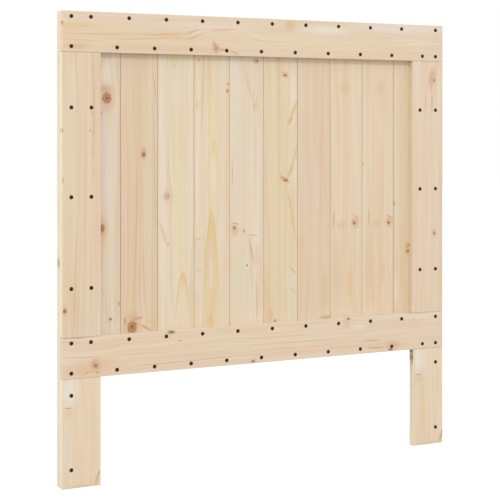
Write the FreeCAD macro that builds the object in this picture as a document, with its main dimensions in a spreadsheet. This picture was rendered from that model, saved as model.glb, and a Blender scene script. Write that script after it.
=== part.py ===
"""Pine headboard for a single bed: a screwed panel of planks on two posts.

The front layer is a top rail and a bottom rail, two stiles that stand between them and two legs
that carry on below. The back layer is a row of upright planks between two posts that reach the
floor. Countersunk wood screws go through the front layer into whatever lies behind it.

Millimetres. +Z is up, the front faces -Y, +X is the right hand of someone facing the front, and
the origin is on the floor in the middle of the headboard's width and depth. A place on the panel
is a pair of formulas: across, from its left side, and up, from the floor.
"""

import FreeCAD
import Part
import Sketcher
import math
import os
import re

from FreeCAD import Vector

# Dimensions that can be set by themselves.
DRIVING = {
    # The whole headboard, and the bottom rail's lower edge above the floor.
    "overall_width": 960.0,
    "overall_height": 1000.0,
    "leg_length": 229.0,
    # Rails, stiles and legs are one planed board, and butt with a hairline joint.
    "board_width": 86.0,
    "board_thickness": 14.0,
    "butt_gap": 0.3,
    # Posts at the outer edges of the back layer.
    "post_width": 44.0,
    "post_thickness": 19.0,
    # Upright planks, which share the width between the posts, and the room at each end of their
    # row. The row lies nearer to the right post.
    "plank_count": 10,
    "plank_thickness": 14.0,
    "plank_gap": 0.6,
    "left_room": 5.7,
    "right_room": 1.4,
    # Every edge of the timber is eased by a small bevel.
    "arris_bevel": 1.0,
    # Screw rows in from a rail's edges. The high row has a screw near the left edge of each
    # plank, and the low row has one near its right edge.
    "rail_row_inset": 11.5,
    "high_screw_inset": 14.3,
    "low_screw_inset": 12.7,
    # Screws into the posts, and rows in from the ends of the stiles and legs. A stile's middle
    # row is a little above halfway.
    "outer_column_inset": 20.5,
    "stile_row_rise": 102.2,
    "stile_row_drop": 116.4,
    "stile_middle_lift": 2.0,
    "leg_row_rise": 38.5,
    "leg_row_drop": 34.5,
    # The countersunk wood screw, driven just below the surface, and its cross recess.
    "screw_length": 25.0,
    "screw_diameter": 4.5,
    "head_diameter": 8.8,
    "head_sink": 0.2,
    "point_length": 5.0,
    "point_diameter": 0.6,
    "recess_span": 4.4,
    "recess_width": 1.2,
    "recess_depth": 1.5,
    # Radial room round a screw in the board that it clamps and in the wood that it bites, and
    # the depth of its hole past its point.
    "shank_clearance": 0.1,
    "thread_clearance": 0.02,
    "point_clearance": 0.5,
    # How far a cutter stands out of the face that it cuts.
    "cut_overrun": 0.5,
}

# Sizes and places that follow from them.
DERIVED = {
    "overall_depth": "board_thickness + post_thickness",
    "front_face": "-overall_depth / 2",
    "back_layer_face": "front_face + board_thickness",
    "top_rail_foot": "overall_height - board_width",
    "stile_foot": "leg_length + board_width + butt_gap",
    "stile_length": "top_rail_foot - butt_gap - stile_foot",
    "leg_board_length": "leg_length - butt_gap",
    "plank_length": "overall_height - leg_length",
    "row_width": "overall_width - 2 * post_width - left_room - right_room",
    "plank_pitch": "(row_width + plank_gap) / plank_count",
    "plank_width": "plank_pitch - plank_gap",
    "first_plank_inset": "post_width + left_room",
    "high_row_start": "first_plank_inset + high_screw_inset",
    "low_row_start": "first_plank_inset + plank_width - low_screw_inset",
    # The inner column runs down the strip of a stile past the post, over the outermost plank.
    "inner_column_inset": "(board_width + post_width) / 2",
    "stile_low_row": "stile_foot + stile_row_rise",
    "stile_high_row": "stile_foot + stile_length - stile_row_drop",
    "stile_middle_row": "(stile_low_row + stile_high_row) / 2 + stile_middle_lift",
    "leg_high_row": "leg_board_length - leg_row_drop",
    # Radii and depths along a screw, counted from the face of the board that it clamps. The
    # head and its countersink slope at 45 degrees.
    "head_radius": "head_diameter / 2",
    "shank_radius": "screw_diameter / 2",
    "point_radius": "point_diameter / 2",
    "bore_radius": "shank_radius + shank_clearance",
    "bite_radius": "shank_radius + thread_clearance",
    "countersink_radius": "head_radius + head_sink + shank_clearance",
    "countersink_depth": "countersink_radius - bore_radius",
    "neck_depth": "head_sink + head_radius - shank_radius",
    "tip_depth": "head_sink + screw_length",
    "taper_depth": "tip_depth - point_length",
    "hole_depth": "tip_depth + point_clearance",
    "bite_depth": "hole_depth - board_thickness",
}

# Screws and their holes have this many flat sides, so that all of them together stay light.
SCREW_SIDES = 8
# A cut that took less than this share of the plain bore's volume has missed the wood.
LEAST_CUT_SHARE = 0.99

RAIL_FEET = {"top_rail": "top_rail_foot", "bottom_rail": "leg_length"}
SIDES = ("left", "right")
STILE_ROWS = ("stile_low_row", "stile_middle_row", "stile_high_row")
LEG_ROWS = ("leg_row_rise", "leg_high_row")

doc = FreeCAD.newDocument("Headboard")
sheet = doc.addObject("Spreadsheet::Sheet", "Sizes")


def fill_sheet():
    """The driving dimensions as plain numbers, and below them the ones that follow."""
    cells = [(name, str(number)) for name, number in DRIVING.items()]
    cells += [(name, "=" + formula) for name, formula in DERIVED.items()]
    for row, (name, content) in enumerate(cells, start=1):
        sheet.set(f"A{row}", name)
        sheet.set(f"B{row}", content)
        sheet.setAlias(f"B{row}", name)
    doc.recompute()


def on_sheet(formula):
    """A formula of the sheet's names, as an expression for another object."""
    return re.sub(r"\b([a-z]+(?:_[a-z]+)+)\b", r"Sizes.\1", formula)


def size(formula):
    """What a formula of the sheet's names comes to."""
    return float(sheet.evalExpression(on_sheet(formula)))


def bind(thing, prop, formula):
    thing.setExpression(prop, on_sheet(formula))


def place(thing, across, front, up):
    """Puts a thing on the panel, at a depth given by its front."""
    bind(thing, "Placement.Base.x", f"{across} - overall_width / 2")
    bind(thing, "Placement.Base.y", front)
    bind(thing, "Placement.Base.z", up)


def rectangle(sketch, width, height):
    """A rectangle up and to the right of the sketch's origin, its sides bound to formulas."""
    right, top = size(width), size(height)
    corners = [Vector(0, 0, 0), Vector(right, 0, 0), Vector(right, top, 0), Vector(0, top, 0)]
    for number, corner in enumerate(corners):
        following = (number + 1) % len(corners)
        sketch.addGeometry(Part.LineSegment(corner, corners[following]), False)
    for number in range(len(corners)):
        following = (number + 1) % len(corners)
        sketch.addConstraint(Sketcher.Constraint("Coincident", number, 2, following, 1))
        level = "Vertical" if number % 2 else "Horizontal"
        sketch.addConstraint(Sketcher.Constraint(level, number))
    sketch.addConstraint(Sketcher.Constraint("Coincident", 0, 1, -1, 1))
    across = sketch.addConstraint(Sketcher.Constraint("DistanceX", 0, 1, 0, 2, right))
    up = sketch.addConstraint(Sketcher.Constraint("DistanceY", 1, 1, 1, 2, top))
    bind(sketch, f"Constraints[{across}]", width)
    bind(sketch, f"Constraints[{up}]", height)


def timber(name, across, front, up, width, height, thickness):
    """A planed length of pine, held by the lower left corner of its front, all edges bevelled."""
    body = doc.addObject("PartDesign::Body", name + "_blank")
    place(body, across, front, up)
    face = body.newObject("Sketcher::SketchObject", name + "_face")
    front_plane = next(item for item in body.Origin.OriginFeatures if item.Role == "XZ_Plane")
    face.AttachmentSupport = [(front_plane, "")]
    face.MapMode = "FlatFace"
    rectangle(face, width, height)
    sawn = body.newObject("PartDesign::Pad", name + "_sawn")
    sawn.Profile = face
    sawn.Reversed = True
    bind(sawn, "Length", thickness)
    doc.recompute()
    eased = body.newObject("PartDesign::Chamfer", name + "_eased")
    eased.Base = (sawn, [""])
    eased.UseAllEdges = True
    bind(eased, "Size", "arris_bevel")
    doc.recompute()
    return body


def copies_at(thing, owner, spots):
    """Linked copies of a thing on the front face, one at each place on the panel."""
    copies = []
    for number, (across, up) in enumerate(spots, start=1):
        copy = doc.addObject("App::Link", f"{owner}_{thing.Name}_{number}")
        copy.LinkedObject = thing
        place(copy, across, "front_face", up)
        copies.append(copy)
    return copies


def drill(body, name, spots, radius, depth):
    """The timber with the holes of the screws at these places, and a check that all are cut."""
    drills = doc.addObject("Part::Compound", name + "_drills")
    drills.Links = copies_at(screw_hole, name, spots)
    drilled = doc.addObject("Part::Cut", name)
    drilled.Label = name
    drilled.Base = body
    drilled.Tool = drills
    doc.recompute()
    flat_area = SCREW_SIDES / 2 * size(radius) ** 2 * math.sin(2 * math.pi / SCREW_SIDES)
    least = len(spots) * flat_area * size(depth) * LEAST_CUT_SHARE
    if body.Shape.Volume - drilled.Shape.Volume < least:
        raise RuntimeError(f"the screw holes of {name} miss the wood")
    sub_parts[name] = drilled


def ring(radius, depth):
    """The corners of a regular polygon about the screw's axis."""
    turns = [2 * math.pi * (side + 0.5) / SCREW_SIDES for side in range(SCREW_SIDES)]
    return [Vector(radius * math.cos(turn), depth, radius * math.sin(turn)) for turn in turns]


def facet(corners):
    return Part.Face(Part.makePolygon([*corners, corners[0]]))


def faceted(profile):
    """A closed solid with flat sides, through rings that are pairs of radius and depth."""
    rings = [ring(size(radius), size(depth)) for radius, depth in profile]
    facets = [facet(rings[0]), facet(rings[-1])]
    for upper, lower in zip(rings, rings[1:]):
        for side in range(SCREW_SIDES):
            facets.append(facet([upper[side - 1], upper[side], lower[side], lower[side - 1]]))
    solid = Part.Solid(Part.Shell(facets))
    if solid.Volume < 0:
        solid.reverse()
    return solid


def make_wood_screw():
    """The screw of every joint, its axis along +Y and the board's face at its origin."""
    shape = faceted([
        ("head_radius", "head_sink"),
        ("shank_radius", "neck_depth"),
        ("shank_radius", "taper_depth"),
        ("point_radius", "tip_depth"),
    ])
    span, width = size("recess_span"), size("recess_width")
    depth = size("head_sink + recess_depth")
    for across, up in ((span, width), (width, span)):
        shape = shape.cut(Part.makeBox(across, depth, up, Vector(-across / 2, 0, -up / 2)))
    screw = doc.addObject("Part::Feature", "wood_screw")
    screw.Shape = shape
    return screw


def make_screw_hole():
    """What a screw's hole takes away: countersink and bore in front, and its bite behind."""
    hole = doc.addObject("Part::Feature", "screw_hole")
    hole.Shape = faceted([
        ("countersink_radius + cut_overrun", "-cut_overrun"),
        ("bore_radius", "countersink_depth"),
        ("bore_radius", "board_thickness"),
        ("bite_radius", "board_thickness"),
        ("bite_radius", "hole_depth"),
    ])
    return hole


def from_side(side, across):
    """The same distance in from the left or the right side of the panel."""
    return across if side == "left" else f"overall_width - {across}"


def low_row(rail):
    return f"{RAIL_FEET[rail]} + rail_row_inset"


def high_row(rail):
    return f"{RAIL_FEET[rail]} + board_width - rail_row_inset"


def post_screws(rail, side):
    """Where a rail is screwed to a post."""
    column = from_side(side, "outer_column_inset")
    return [(column, low_row(rail)), (column, high_row(rail))]


def plank_screws(rail, number):
    """Where a rail is screwed to a plank, counted from 0 at the left."""
    high = (f"high_row_start + {number} * plank_pitch", high_row(rail))
    low = (f"low_row_start + {number} * plank_pitch", low_row(rail))
    return [high, low]


def column_screws(side, column, rows):
    return [(from_side(side, column), row) for row in rows]


def build_rails():
    """The top and bottom rails, as wide as the panel, screwed to both posts and every plank."""
    for rail, foot in RAIL_FEET.items():
        spots = [spot for side in SIDES for spot in post_screws(rail, side)]
        spots += [spot for number in range(plank_count) for spot in plank_screws(rail, number)]
        body = timber(
            rail, "0", "front_face", foot, "overall_width", "board_width", "board_thickness"
        )
        drill(body, rail, spots, "bore_radius", "board_thickness")
        screws[rail] = spots


def build_stiles_and_legs():
    """Boards at the sides, between the rails and from the bottom rail down to the floor."""
    for side in SIDES:
        across = "0" if side == "left" else "overall_width - board_width"
        stile, leg = f"{side}_stile", f"{side}_leg"
        screws[stile] = column_screws(side, "outer_column_inset", STILE_ROWS)
        screws[stile] += column_screws(side, "inner_column_inset", STILE_ROWS)
        screws[leg] = column_screws(side, "outer_column_inset", LEG_ROWS)
        for name, foot, length in (
            (stile, "stile_foot", "stile_length"),
            (leg, "0", "leg_board_length"),
        ):
            body = timber(
                name, across, "front_face", foot, "board_width", length, "board_thickness"
            )
            drill(body, name, screws[name], "bore_radius", "board_thickness")


def build_planks():
    """The upright planks. A stile laps the first and the last, and is screwed to them too."""
    lapped = {0: "left", plank_count - 1: "right"}
    for number in range(plank_count):
        name = f"plank_{number + 1}"
        across = f"first_plank_inset + {number} * plank_pitch"
        spots = [spot for rail in RAIL_FEET for spot in plank_screws(rail, number)]
        if number in lapped:
            spots += column_screws(lapped[number], "inner_column_inset", STILE_ROWS)
        body = timber(
            name, across, "back_layer_face", "leg_length",
            "plank_width", "plank_length", "plank_thickness",
        )
        drill(body, name, spots, "bite_radius", "bite_depth")


def build_posts():
    """The posts at the outer edges, from the floor to the top, behind all the front boards."""
    for side in SIDES:
        name = f"{side}_post"
        across = "0" if side == "left" else "overall_width - post_width"
        spots = [spot for rail in RAIL_FEET for spot in post_screws(rail, side)]
        spots += column_screws(side, "outer_column_inset", STILE_ROWS + LEG_ROWS)
        body = timber(
            name, across, "back_layer_face", "0",
            "post_width", "overall_height", "post_thickness",
        )
        drill(body, name, spots, "bite_radius", "bite_depth")


def build_screws():
    """The screws of each front board, every one a copy of the same screw in its own hole."""
    for owner, spots in screws.items():
        group = doc.addObject("Part::Compound", f"{owner}_screws")
        group.Label = f"{owner}_screws"
        group.Links = copies_at(wood_screw, owner, spots)
        sub_parts[group.Label] = group


def write_parts():
    """Checks the whole document and writes each sub-part's solids."""
    doc.recompute()
    for thing in doc.Objects:
        if "Invalid" in thing.State or "Error" in thing.State:
            raise RuntimeError(f"{thing.Name} is {thing.State}")
    os.makedirs("parts", exist_ok=True)
    for name, sub_part in sub_parts.items():
        shape = sub_part.Shape
        solids = len(screws[name.removesuffix("_screws")]) if name.endswith("_screws") else 1
        if shape.isNull() or not shape.isValid() or len(shape.Solids) != solids:
            raise RuntimeError(f"{name} isn't {solids} valid solids")
        shape.exportStep(f"parts/{name}.step")
        print(f"{name}: solids {solids}, volume {shape.Volume:.0f} mm3")


fill_sheet()
plank_count = int(size("plank_count"))
sub_parts = {}
screws = {}
wood_screw = make_wood_screw()
screw_hole = make_screw_hole()
build_rails()
build_stiles_and_legs()
build_planks()
build_posts()
build_screws()
write_parts()
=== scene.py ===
"""Pine headboard for a single bed: planks and posts at the back, a frame of boards in front.

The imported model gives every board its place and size. What is made here is the timber itself,
with rounded arrises, bored and countersunk holes and the grain, knots and tone of each board,
the browned screws, and the plain studio round it. Marks on a board are given in millimetres on
the headboard's front: across from the middle to the right, and up from the floor.
"""

import math

import bmesh
import bpy
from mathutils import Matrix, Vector


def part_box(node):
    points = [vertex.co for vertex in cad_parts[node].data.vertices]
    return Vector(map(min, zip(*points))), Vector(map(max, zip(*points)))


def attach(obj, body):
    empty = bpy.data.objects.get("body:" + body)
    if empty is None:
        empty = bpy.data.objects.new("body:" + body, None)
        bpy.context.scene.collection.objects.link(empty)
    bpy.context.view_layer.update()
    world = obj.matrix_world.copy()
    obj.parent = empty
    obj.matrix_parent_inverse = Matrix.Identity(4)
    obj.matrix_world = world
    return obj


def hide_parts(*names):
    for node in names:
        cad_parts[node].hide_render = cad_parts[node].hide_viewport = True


MM = 0.001

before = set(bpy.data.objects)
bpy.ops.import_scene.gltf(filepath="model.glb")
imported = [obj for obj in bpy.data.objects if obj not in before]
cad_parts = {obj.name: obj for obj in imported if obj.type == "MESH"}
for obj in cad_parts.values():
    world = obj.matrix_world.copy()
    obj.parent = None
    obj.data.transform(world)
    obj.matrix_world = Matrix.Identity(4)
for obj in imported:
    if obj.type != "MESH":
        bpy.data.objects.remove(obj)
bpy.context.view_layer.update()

# The screws are marked out on the front boards before anything is bored.
# They stand in two rows along each rail, one screw of each row to a plank, and in columns down
# the stiles and legs, where the boards lap the posts and the outermost planks.

rail_row_inset = 11.5 * MM
high_screw_inset = 14.3 * MM
low_screw_inset = 12.7 * MM
outer_column_inset = 20.5 * MM
stile_row_rise = 102.2 * MM
stile_row_drop = 116.4 * MM
stile_middle_lift = 2.0 * MM
leg_row_rise = 38.5 * MM
leg_row_drop = 34.5 * MM

planks = [f"plank_{number}" for number in range(1, 11)]


def rail_screws(rail):
    """Places of a rail's screws, as pairs of across and up."""
    low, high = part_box(rail)
    low_row, high_row = low.z + rail_row_inset, high.z - rail_row_inset
    ends = (low.x + outer_column_inset, high.x - outer_column_inset)
    places = [(across, up) for across in ends for up in (low_row, high_row)]
    for plank in planks:
        left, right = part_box(plank)
        places.append((left.x + high_screw_inset, high_row))
        places.append((right.x - low_screw_inset, low_row))
    return places


def outer_column(board):
    """The column of screws that goes into the post behind a stile or leg."""
    low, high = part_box(board)
    if low.x < 0:
        return low.x + outer_column_inset
    return high.x - outer_column_inset


def inner_column(stile):
    """The column in the middle of the strip of a stile past the post, over a plank."""
    low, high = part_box(stile)
    if low.x < 0:
        return (high.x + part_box("left_post")[1].x) / 2
    return (low.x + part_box("right_post")[0].x) / 2


def stile_screws(stile):
    """Places of a stile's screws: two columns of three, the middle row a little above halfway."""
    low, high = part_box(stile)
    bottom_row, top_row = low.z + stile_row_rise, high.z - stile_row_drop
    rows = (bottom_row, (bottom_row + top_row) / 2 + stile_middle_lift, top_row)
    columns = (outer_column(stile), inner_column(stile))
    return [(across, up) for across in columns for up in rows]


def leg_screws(leg):
    """Places of a leg's two screws, one near each end."""
    low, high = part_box(leg)
    return [(outer_column(leg), up) for up in (leg_row_rise, high.z - leg_row_drop)]


screws = {rail: rail_screws(rail) for rail in ("top_rail", "bottom_rail")}
screws |= {stile: stile_screws(stile) for stile in ("left_stile", "right_stile")}
screws |= {leg: leg_screws(leg) for leg in ("left_leg", "right_leg")}
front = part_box("top_rail")[0].y


def marks(name, places):
    """A mesh of bare points on the headboard's front, one to a screw."""
    mesh = bpy.data.meshes.new(name)
    mesh.from_pydata([(across, front, up) for across, up in places], [], [])
    points = bpy.data.objects.new(name, mesh)
    bpy.context.scene.collection.objects.link(points)
    return points


all_marks = marks("screw_marks", [place for places in screws.values() for place in places])


# Timber: sawn pine, planed, its arrises rounded by a light sanding.
# Every board is bored for the screws that pass through it or end in it, and the front boards
# are countersunk, so one cutter shaped like a hole serves them all.

arris_radius = 1.0 * MM
arris_steps = 3
board_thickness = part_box("top_rail")[1].y - front
bore_radius = 2.35 * MM
bite_radius = 2.27 * MM
countersink_radius = 4.7 * MM
hole_depth = 25.7 * MM
hole_sides = 24
overrun = 0.5 * MM


def add(tree, kind, feeds=None, **settings):
    """Adds a node, sets what it is, and feeds its inputs with values, outputs or whole nodes."""
    node = tree.nodes.new(kind)
    for setting, value in settings.items():
        setattr(node, setting, value)
    for name, source in (feeds or {}).items():
        taker = node.inputs[name] if isinstance(name, int) else next(
            socket for socket in node.inputs if socket.name == name and socket.enabled
        )
        if isinstance(source, bpy.types.Node):
            source = next(socket for socket in source.outputs if socket.enabled)
        if isinstance(source, bpy.types.NodeSocket):
            tree.links.new(source, taker)
        else:
            taker.default_value = source
    return node


def new_tree(name, kind, takes, gives):
    """An empty node group with these sockets, each a name and a kind, and what is fed to it."""
    tree = bpy.data.node_groups.new(name, kind)
    for socket, sort in takes.items():
        tree.interface.new_socket(socket, in_out="INPUT", socket_type="NodeSocket" + sort)
    for socket, sort in gives.items():
        tree.interface.new_socket(socket, in_out="OUTPUT", socket_type="NodeSocket" + sort)
    return tree, add(tree, "NodeGroupInput").outputs


def bored_holes():
    """Cuts a countersunk, bored and blind-ended screw hole at each mark out of a board."""
    tree, given = new_tree(
        "bored_holes", "GeometryNodeTree",
        {"Geometry": "Geometry", "Marks": "Object", "Timber": "Material", "Bore": "Float",
         "Bite": "Float", "Countersink": "Float", "Board": "Float", "Depth": "Float",
         "Overrun": "Float"},
        {"Geometry": "Geometry"},
    )
    # The cutter points down -Z until it is turned to face the board, with its top at 0.
    cone_depth = add(tree, "ShaderNodeMath", {0: given["Countersink"], 1: given["Bore"]},
                     operation="SUBTRACT")
    cone_foot = add(tree, "ShaderNodeMath", {0: cone_depth, 1: -1.0}, operation="MULTIPLY")
    cone = add(tree, "GeometryNodeMeshCone", {
        "Vertices": hole_sides, "Radius Top": given["Countersink"],
        "Radius Bottom": given["Bore"], "Depth": cone_depth,
    })
    above = add(tree, "ShaderNodeMath", {0: given["Overrun"], 1: 0.5}, operation="MULTIPLY")
    parts = [(cone, cone_foot), (add(tree, "GeometryNodeMeshCylinder", {
        "Vertices": hole_sides, "Radius": given["Countersink"], "Depth": given["Overrun"],
    }), above)]
    for radius, depth in (("Bore", "Board"), ("Bite", "Depth")):
        drill = add(tree, "GeometryNodeMeshCylinder", {
            "Vertices": hole_sides, "Radius": given[radius], "Depth": given[depth],
        })
        halfway = add(tree, "ShaderNodeMath", {0: given[depth], 1: -0.5}, operation="MULTIPLY")
        parts.append((drill, halfway))
    cutter = add(tree, "GeometryNodeMeshBoolean", operation="UNION", solver="EXACT")
    for part, height in parts:
        lift = add(tree, "ShaderNodeCombineXYZ", {"Z": height})
        placed = add(tree, "GeometryNodeTransform", {"Geometry": part, "Translation": lift})
        tree.links.new(placed.outputs[0], cutter.inputs["Mesh 2"])
    points = add(tree, "GeometryNodeObjectInfo", {"Object": given["Marks"]})
    bores = add(tree, "GeometryNodeInstanceOnPoints", {
        "Points": points.outputs["Geometry"], "Instance": cutter.outputs["Mesh"],
        "Rotation": (math.radians(90), 0, 0),
    })
    loose = add(tree, "GeometryNodeRealizeInstances", {"Geometry": bores})
    cut = add(tree, "GeometryNodeMeshBoolean", {
        "Mesh 1": given["Geometry"], "Mesh 2": loose,
    }, operation="DIFFERENCE", solver="EXACT")
    dressed = add(tree, "GeometryNodeSetMaterial", {
        "Geometry": cut.outputs["Mesh"], "Material": given["Timber"],
    })
    add(tree, "NodeGroupOutput", {0: dressed})
    return tree


holes_tree = bored_holes()


def settle(piece, tree, values):
    """Runs a tree on a piece, keeps what comes out as its plain mesh, and drops the modifier."""
    identifiers = {
        item.name: item.identifier for item in tree.interface.items_tree if item.in_out == "INPUT"
    }
    modifier = piece.modifiers.new(tree.name, "NODES")
    modifier.node_group = tree
    for name, value in values.items():
        modifier[identifiers[name]] = value
    piece.update_tag()
    evaluated = piece.evaluated_get(bpy.context.evaluated_depsgraph_get())
    mesh = bpy.data.meshes.new_from_object(evaluated)
    piece.modifiers.remove(modifier)
    spent = piece.data
    piece.data = mesh
    bpy.data.meshes.remove(spent)
    mesh.name = piece.name


def planed_board(node, timber, arris):
    """A board in its place, with rounded arrises and every hole that it needs."""
    low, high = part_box(node)
    form = bmesh.new()
    bmesh.ops.create_cube(form, size=1.0)
    for corner in form.verts:
        corner.co = Vector(
            high[axis] if corner.co[axis] > 0 else low[axis] for axis in range(3)
        )
    bmesh.ops.bevel(
        form, geom=form.edges[:], offset=arris, segments=arris_steps,
        profile=0.5, affect="EDGES", clamp_overlap=True,
    )
    mesh = bpy.data.meshes.new(node + "_timber")
    form.to_mesh(mesh)
    form.free()
    piece = bpy.data.objects.new(node + "_timber", mesh)
    bpy.context.scene.collection.objects.link(piece)
    settle(piece, holes_tree, {
        "Marks": all_marks, "Timber": timber, "Bore": bore_radius, "Bite": bite_radius,
        "Countersink": countersink_radius, "Board": board_thickness, "Depth": hole_depth,
        "Overrun": overrun,
    })
    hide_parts(node)
    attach(piece, "root")


# Finish: white pine, planed, sanded and left bare, so it is pale and nearly matt.
# The saw cut the growth rings lengthwise into long soft bands and thin darker late wood, and
# where it ran along a ring it left a pointed flame. The grain parts round the knots of branches.

late_wood = "C79F6B"
knot_halo = "CFA27A"
knot_rings = (
    (0.0, "6E4628"), (0.25, "96603A"), (0.5, "BE8A5E"), (0.72, "A06644"), (0.9, "C4946C"),
)
knot_rim = "C4946C"


def linear(shade):
    """A colour written as six hex digits of sRGB, turned to the linear one that a node takes."""
    levels = [int(shade[place:place + 2], 16) / 255 for place in (0, 2, 4)]
    return (*[
        level / 12.92 if level <= 0.04045 else ((level + 0.055) / 1.055) ** 2.4
        for level in levels
    ], 1.0)


def parted_grain():
    """Moves the grain aside round a knot, so that its lines run past on both sides."""
    tree, given = new_tree(
        "parted_grain", "ShaderNodeTree",
        {"Position": "Vector", "Centre": "Vector", "Reach": "Vector"}, {"Position": "Vector"},
    )
    away = add(tree, "ShaderNodeVectorMath", {0: given["Position"], 1: given["Centre"]},
               operation="SUBTRACT")
    share = add(tree, "ShaderNodeVectorMath", {0: away, 1: given["Reach"]}, operation="DIVIDE")
    far = add(tree, "ShaderNodeVectorMath", {0: share}, operation="LENGTH")
    # Close to the knot, a line stands four times as far from its middle as it would without it.
    near = add(tree, "ShaderNodeMapRange", {"Value": far, "To Min": 1 - 1 / 4, "To Max": 0.0},
               interpolation_type="SMOOTHSTEP")
    sideways = add(tree, "ShaderNodeVectorMath", {0: away, 1: (1, 0, 0)}, operation="MULTIPLY")
    pull = add(tree, "ShaderNodeVectorMath", {0: sideways, "Scale": near}, operation="SCALE")
    moved = add(tree, "ShaderNodeVectorMath", {0: given["Position"], 1: pull},
                operation="SUBTRACT")
    add(tree, "NodeGroupOutput", {0: moved})
    return tree


def growth_rings():
    """The bands, late wood and fibres of timber sawn out of a log of growth rings."""
    tree, given = new_tree(
        "growth_rings", "ShaderNodeTree",
        {"Position": "Vector", "Seed": "Vector", "Pith": "Vector", "Lean": "Float",
         "Ring width": "Float", "Wave": "Float", "Wave length": "Float"},
        {"Band": "Float", "Late wood": "Float", "Streak": "Float", "Fibre": "Float",
         "Drift": "Float"},
    )
    # Sizes are in millimetres, across the grain, deep and along it. Bands, streaks and fibres
    # have a roughness too.
    noise_range = (0.3, 0.7)
    crook_size = 70.0
    weather_rate, weather_swing = 0.45, 3.0
    late_start, late_full, winter_start = 0.4, 0.9, 0.92
    thinning_size, thinning_range = (8, 8, 240), (0.4, 0.65)
    band = ((15, 15, 650), 0.6)
    streak = ((3, 3, 260), 0.6)
    fibre = ((0.5, 0.5, 30), 0.7)
    seeded = add(tree, "ShaderNodeVectorMath", {0: given["Position"], 1: given["Seed"]})
    # The tree grew slightly crooked, so its rings wander from side to side along the board.
    bends = add(tree, "ShaderNodeCombineXYZ", {
        "X": crook_size, "Y": crook_size, "Z": given["Wave length"],
    })
    slow = add(tree, "ShaderNodeVectorMath", {0: seeded, 1: bends}, operation="DIVIDE")
    wander = add(tree, "ShaderNodeTexNoise", {"Vector": slow, "Scale": 1.0, "Detail": 1.0})
    swing = add(tree, "ShaderNodeMapRange", {
        "Value": wander, "From Min": noise_range[0], "From Max": noise_range[1],
        "To Min": -1.0, "To Max": 1.0,
    })
    drift = add(tree, "ShaderNodeMath", {0: swing, 1: given["Wave"]}, operation="MULTIPLY")
    # A ring is as far from the pith as it is old, and the pith leans away along the board.
    from_pith = add(tree, "ShaderNodeVectorMath", {0: given["Position"], 1: given["Pith"]},
                    operation="SUBTRACT")
    parts = add(tree, "ShaderNodeSeparateXYZ", {0: from_pith}).outputs
    across = add(tree, "ShaderNodeMath", {0: parts["X"], 1: drift})
    deep = add(tree, "ShaderNodeMath", {0: parts["Z"], 1: given["Lean"], 2: parts["Y"]},
               operation="MULTIPLY_ADD")
    radial = add(tree, "ShaderNodeCombineXYZ", {"X": across, "Y": deep})
    radius = add(tree, "ShaderNodeVectorMath", {0: radial}, operation="LENGTH")
    steady = add(tree, "ShaderNodeMath", {0: radius, 1: given["Ring width"]}, operation="DIVIDE")
    # Good and poor years follow one another, so rings of all widths lie side by side.
    weather = add(tree, "ShaderNodeTexNoise", {
        "W": steady, "Scale": weather_rate, "Detail": 1.0,
    }, noise_dimensions="1D")
    age = add(tree, "ShaderNodeMath", {0: weather, 1: weather_swing, 2: steady},
              operation="MULTIPLY_ADD")
    year = add(tree, "ShaderNodeMath", {0: age}, operation="FLOOR")
    season = add(tree, "ShaderNodeMath", {0: age}, operation="FRACT")
    summer = add(tree, "ShaderNodeMapRange", {
        "Value": season, "From Min": late_start, "From Max": late_full,
    }, interpolation_type="SMOOTHSTEP")
    winter = add(tree, "ShaderNodeMapRange", {
        "Value": season, "From Min": winter_start, "To Min": 1.0, "To Max": 0.0,
    }, interpolation_type="SMOOTHSTEP")
    line = add(tree, "ShaderNodeMath", {0: summer, 1: winter}, operation="MULTIPLY")
    harvest = add(tree, "ShaderNodeTexWhiteNoise", {"W": year}, noise_dimensions="1D")
    spread = add(tree, "ShaderNodeVectorMath", {0: seeded, 1: thinning_size},
                 operation="DIVIDE")
    thinning = add(tree, "ShaderNodeTexNoise", {"Vector": spread, "Scale": 1.0, "Detail": 2.0})
    fading = add(tree, "ShaderNodeMapRange", {
        "Value": thinning, "From Min": thinning_range[0], "From Max": thinning_range[1],
    }, interpolation_type="SMOOTHSTEP")
    strength = add(tree, "ShaderNodeMath", {0: harvest, 1: fading}, operation="MULTIPLY")
    late = add(tree, "ShaderNodeMath", {0: line, 1: strength}, operation="MULTIPLY")
    # Bands, streaks and fibres follow the rings, each drawn out along the grain in millimetres.
    followed = add(tree, "ShaderNodeVectorMath", {
        0: seeded, 1: add(tree, "ShaderNodeCombineXYZ", {"X": drift}),
    })
    grains = []
    for size, roughness in (band, streak, fibre):
        drawn = add(tree, "ShaderNodeVectorMath", {0: followed, 1: size}, operation="DIVIDE")
        noise = add(tree, "ShaderNodeTexNoise", {
            "Vector": drawn, "Scale": 1.0, "Detail": 2.0, "Roughness": roughness,
        })
        grains.append(add(tree, "ShaderNodeMapRange", {
            "Value": noise, "From Min": noise_range[0], "From Max": noise_range[1],
        }))
    add(tree, "NodeGroupOutput", {
        "Band": grains[0], "Late wood": late, "Streak": grains[1], "Fibre": grains[2],
        "Drift": drift,
    })
    return tree


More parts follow.
